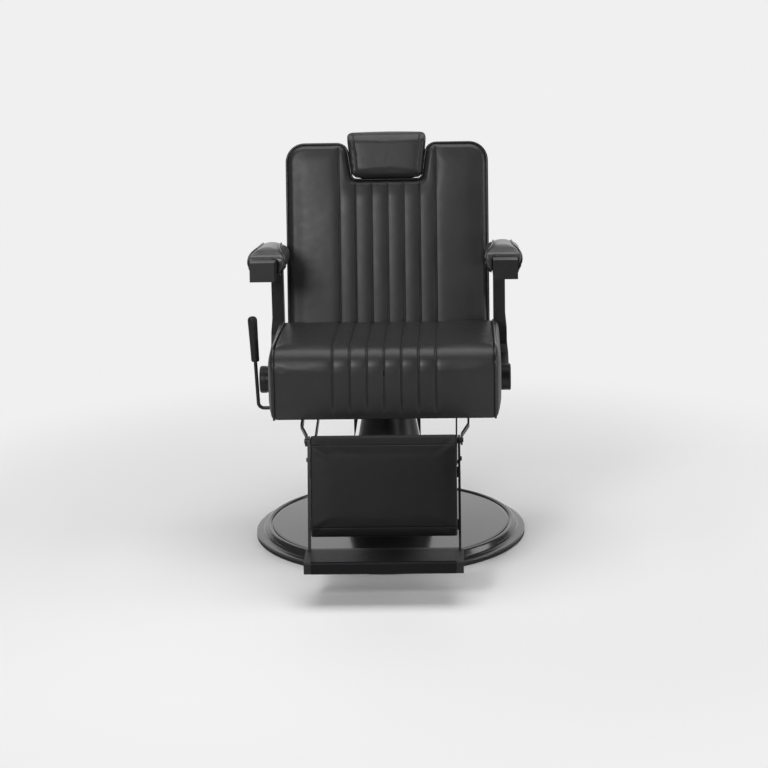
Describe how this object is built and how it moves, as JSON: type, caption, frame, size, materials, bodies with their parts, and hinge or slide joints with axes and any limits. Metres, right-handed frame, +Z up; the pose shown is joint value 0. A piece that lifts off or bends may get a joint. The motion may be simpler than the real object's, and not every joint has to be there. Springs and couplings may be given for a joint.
{
  "type": "hydraulic barber chair",
  "caption": "Reclining barber chair with pump base, swivel, coupled backrest and leg rest, headrest and footplate.",
  "frame": {"origin": "centre of the round base on the floor, below the column axis", "axes": "+Z up along the column, -Y the way the sitter faces, +X across the seat"},
  "size_m": [0.6999, 1.0056, 1.0114],
  "materials": {
    "rubber": "matt black rubber",
    "base_enamel": "satin black enamel",
    "black_frame": "satin black paint",
    "cast_pump": "cast, unpainted",
    "steel": "turned steel",
    "chrome": "polished",
    "board": "plywood",
    "upholstery": "black leathercloth with a fine grain",
    "black_box": "satin black box section",
    "black_trim": "black moulded plastic",
    "ribbed_alloy": "black anodised extrusion"
  },
  "bodies": {
    "base": {"base_gasket": "rubber", "base_plate": "black_frame", "base_cover": "base_enamel", "pump_body": "cast_pump", "pump_bolts": "steel", "pump_gland": "steel", "column_skirt": "base_enamel", "pedal_pin": "steel"},
    "pedal": {"pedal_arm": "black_frame", "pedal_tread": "rubber"},
    "plunger": {"pump_plunger": "steel"},
    "lift": {"ram": "chrome", "ram_retainer": "steel", "thrust_bearing": "steel"},
    "seat": {"swivel_housing": "black_frame", "top_plate": "black_frame", "top_plate_bolts": "steel", "seat_rails": "black_frame", "cross_front": "black_frame", "cross_rear": "black_frame", "seat_board": "board", "seat_cushion": "upholstery", "seat_sides": "upholstery", "hub_spacers": "black_frame", "arm_left": "black_frame", "arm_right": "black_frame", "hub_bolts": "steel", "hub_caps": "black_frame", "arm_boxes": "black_box", "box_caps": "black_trim", "arm_pad_left": "upholstery", "arm_pad_right": "upholstery", "hinge_pins": "steel", "hangers": "black_frame", "pivot_shaft": "black_frame", "lever_bracket": "black_frame"},
    "lever": {"lever_rod": "black_frame", "lever_grip": "black_trim"},
    "strut_outer": {"strut_cylinder": "black_frame"},
    "strut_inner": {"strut_rod": "chrome"},
    "backrest": {"back_tube": "black_frame", "back_sides": "black_frame", "crank_pins": "steel", "back_board": "board", "back_cushion": "upholstery", "back_cover": "upholstery", "head_guide": "black_frame"},
    "headrest": {"head_stem": "steel", "head_cushion": "upholstery"},
    "legrest": {"leg_bars": "black_frame", "calf_rails": "black_frame", "foot_rail": "black_frame", "leg_pins": "steel", "calf_board": "board", "calf_cushion": "upholstery", "footplate": "ribbed_alloy", "foot_caps": "black_trim"},
    "link_l": {"link_left": "black_frame"},
    "link_r": {"link_right": "black_frame"}
  },
  "joints": [
    {"name": "ram_lift", "type": "slide", "parent": "base", "child": "lift", "axis": [0, 0, 1], "range_m": [0, 0.16]},
    {"name": "seat_swivel", "type": "hinge", "parent": "lift", "child": "seat", "pos_m": [0, 0, 0.37], "axis": [0, 0, 1], "continuous": true},
    {"name": "back_recline", "type": "hinge", "parent": "seat", "child": "backrest", "pos_m": [0, 0.178, 0.415], "axis": [-1, 0, 0], "range_deg": [0, 42]},
    {"name": "headrest_height", "type": "slide", "parent": "backrest", "child": "headrest", "axis": [0, 0.2079, 0.9781], "range_m": [0, 0.1]},
    {"name": "legrest_swing", "type": "hinge", "parent": "seat", "child": "legrest", "pos_m": [0, -0.385, 0.356], "axis": [-1, 0, 0], "range_deg": [0, 42]},
    {"name": "link_left_pivot", "type": "hinge", "parent": "backrest", "child": "link_l", "pos_m": [0, 0.178, 0.36], "axis": [-1, 0, 0], "range_deg": [-42, 0]},
    {"name": "link_right_pivot", "type": "hinge", "parent": "backrest", "child": "link_r", "pos_m": [0, 0.178, 0.36], "axis": [-1, 0, 0], "range_deg": [-42, 0]},
    {"name": "strut_pivot", "type": "hinge", "parent": "seat", "child": "strut_outer", "pos_m": [-0.08, -0.082, 0.38], "axis": [1, 0, 0], "range_deg": [0, 2.1]},
    {"name": "strut_slide", "type": "slide", "parent": "strut_outer", "child": "strut_inner", "axis": [0, -0.9993, 0.0384], "range_m": [0, 0.0312]},
    {"name": "recline_lever", "type": "hinge", "parent": "seat", "child": "lever", "pos_m": [-0.2, -0.14, 0.375], "axis": [-1, 0, 0], "range_deg": [0, 16], "stiffness_Nm_per_rad": 6, "springref_deg": -6.88},
    {"name": "pump_pedal", "type": "hinge", "parent": "base", "child": "pedal", "pos_m": [0, 0.092, 0.062], "axis": [-1, 0, 0], "range_deg": [0, 16], "stiffness_Nm_per_rad": 20, "springref_deg": -28.65},
    {"name": "pump_stroke", "type": "slide", "parent": "base", "child": "plunger", "axis": [0, 0, 1], "range_m": [0, 0.0097]}
  ],
  "couplings": [
    {"joint": "legrest_swing", "follows": "back_recline", "ratio": 1},
    {"joint": "link_left_pivot", "follows": "back_recline", "ratio": -1},
    {"joint": "link_right_pivot", "follows": "back_recline", "ratio": -1},
    {"joint": "strut_pivot", "follows": "back_recline", "ratio": 0.049},
    {"joint": "strut_slide", "follows": "back_recline", "m_per_rad": 0.04225},
    {"joint": "pump_stroke", "follows": "pump_pedal", "m_per_rad": 0.034}
  ]
}
